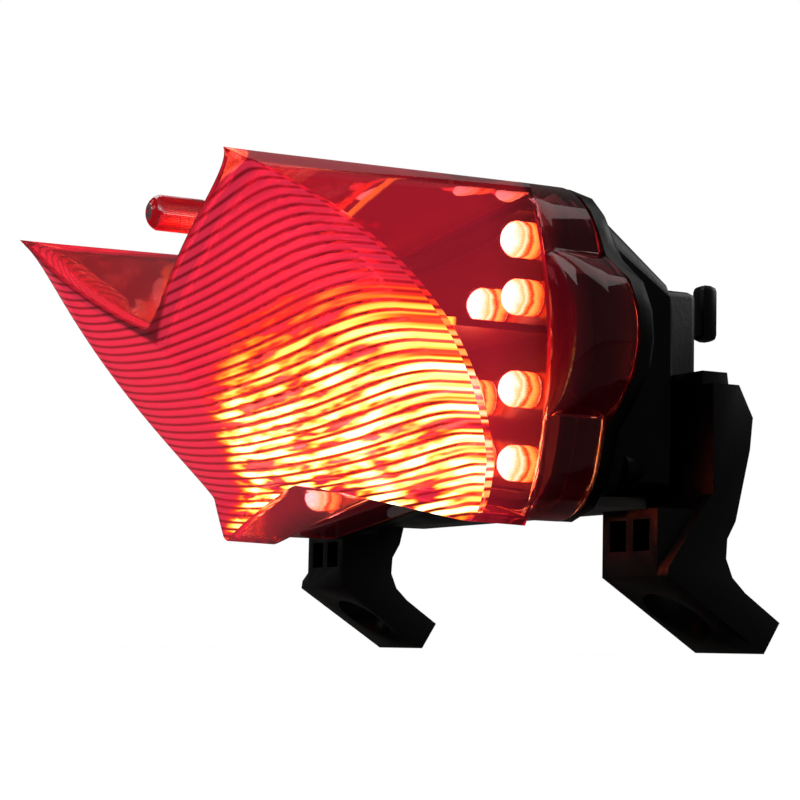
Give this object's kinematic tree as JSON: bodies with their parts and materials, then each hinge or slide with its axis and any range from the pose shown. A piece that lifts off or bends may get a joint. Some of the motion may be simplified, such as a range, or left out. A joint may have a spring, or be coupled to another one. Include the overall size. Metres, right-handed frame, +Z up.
{
  "type": "motorcycle tail light",
  "caption": "LED motorcycle tail light: fluted red lens with a V notch on top, black housing, and mounting legs with slanted holed feet.",
  "frame": {"origin": "under the middle of the lamp, level with the lowest edge of the two foot soles", "axes": "+X to the right of the bike, +Y to its front, +Z up; the lens shines towards -Y"},
  "size_m": [0.1458, 0.104, 0.0847],
  "materials": {
    "red_lens": "clear red moulded PMMA, polished",
    "black_abs": "moulded ABS, satin",
    "rubber": "matt",
    "carrier_plastic": "white reflector moulding",
    "circuit_board": "solder mask",
    "led_resin": "clear epoxy, lit",
    "resistor_coating": "dipped",
    "zinc_steel": "zinc plated"
  },
  "bodies": {
    "root": {"board_screw_1": "zinc_steel", "board_screw_2": "zinc_steel", "board_screw_3": "zinc_steel", "board_screw_4": "zinc_steel", "circuit_board": "circuit_board", "housing": "black_abs", "led_01": "led_resin", "led_02": "led_resin", "led_03": "led_resin", "led_04": "led_resin", "led_05": "led_resin", "led_06": "led_resin", "led_07": "led_resin", "led_08": "led_resin", "led_09": "led_resin", "led_10": "led_resin", "led_11": "led_resin", "led_12": "led_resin", "led_13": "led_resin", "led_14": "led_resin", "led_15": "led_resin", "led_16": "led_resin", "led_17": "led_resin", "led_18": "led_resin", "led_carrier": "carrier_plastic", "left_leg": "black_abs", "left_leg_screw_1": "zinc_steel", "left_leg_screw_2": "zinc_steel", "lens": "red_lens", "lens_seal": "rubber", "resistor_1": "resistor_coating", "resistor_2": "resistor_coating", "resistor_3": "resistor_coating", "resistor_4": "resistor_coating", "resistor_5": "resistor_coating", "right_leg": "black_abs", "right_leg_screw_1": "zinc_steel", "right_leg_screw_2": "zinc_steel", "wire_inlet_bush": "rubber"}
  },
  "joints": []
}
